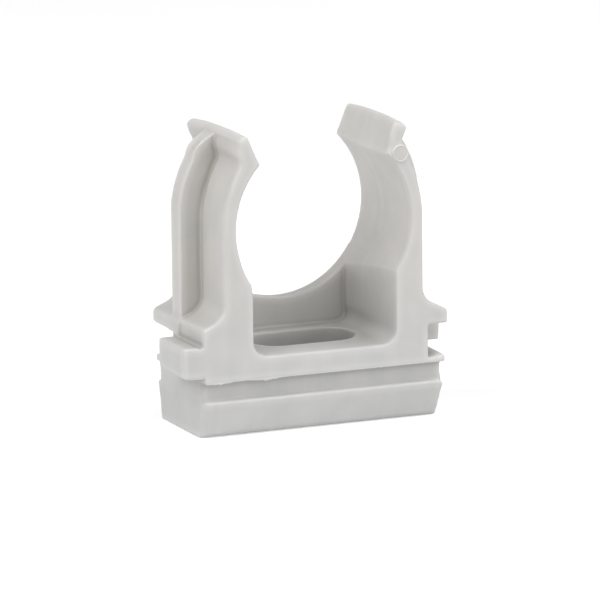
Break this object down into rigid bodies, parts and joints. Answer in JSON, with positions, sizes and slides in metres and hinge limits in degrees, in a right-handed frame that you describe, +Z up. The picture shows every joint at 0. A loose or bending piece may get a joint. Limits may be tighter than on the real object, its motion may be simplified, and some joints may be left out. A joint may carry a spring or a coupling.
{
  "type": "conduit clip",
  "caption": "Grey plastic snap-in clip for 25 mm rigid conduit, with a screw slot, a wedge foot for a mounting rail, and end tabs and pockets that join clips in a row.",
  "frame": {"origin": "centre of the foot's underside", "axes": "+X along the foot, +Y along the conduit away from the face that the window opens in, +Z up through the mouth"},
  "size_m": [0.0402, 0.0175, 0.04],
  "materials": {
    "plastic": "satin moulded surface"
  },
  "bodies": {
    "root": {"clip": "plastic"}
  },
  "joints": []
}
